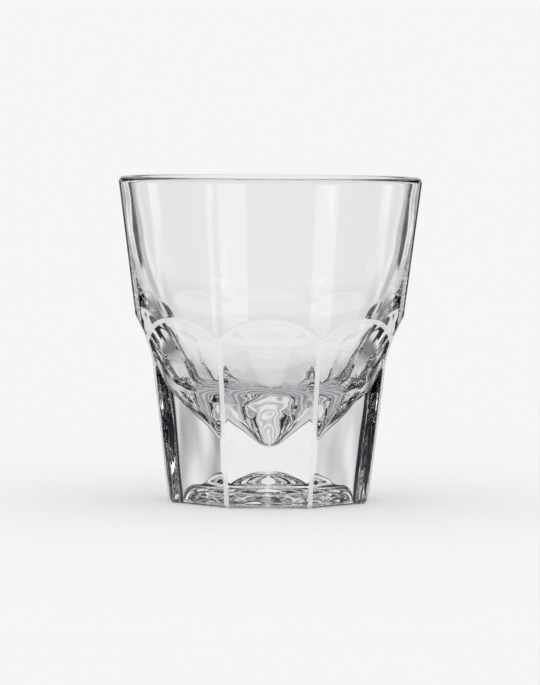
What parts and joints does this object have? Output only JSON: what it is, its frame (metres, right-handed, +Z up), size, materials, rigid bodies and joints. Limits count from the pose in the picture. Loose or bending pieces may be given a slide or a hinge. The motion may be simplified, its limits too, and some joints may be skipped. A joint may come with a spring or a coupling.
{
  "type": "rocks glass",
  "caption": "Short heavy drinking glass: round flaring wall and rounded rim above, flat panels with arched tops below, thick foot with a stepped, bell-shaped hollow under it.",
  "frame": {"origin": "Centre of the plane that the glass stands on", "axes": "+Z is up along the axis of the glass, -Y is the front, square to the middle of one flat panel, and X runs across it"},
  "size_m": [0.073, 0.073, 0.078],
  "materials": {
    "clear_glass": "clear, fire-polished pressed glass"
  },
  "bodies": {
    "root": {"tumbler": "clear_glass"}
  },
  "joints": []
}
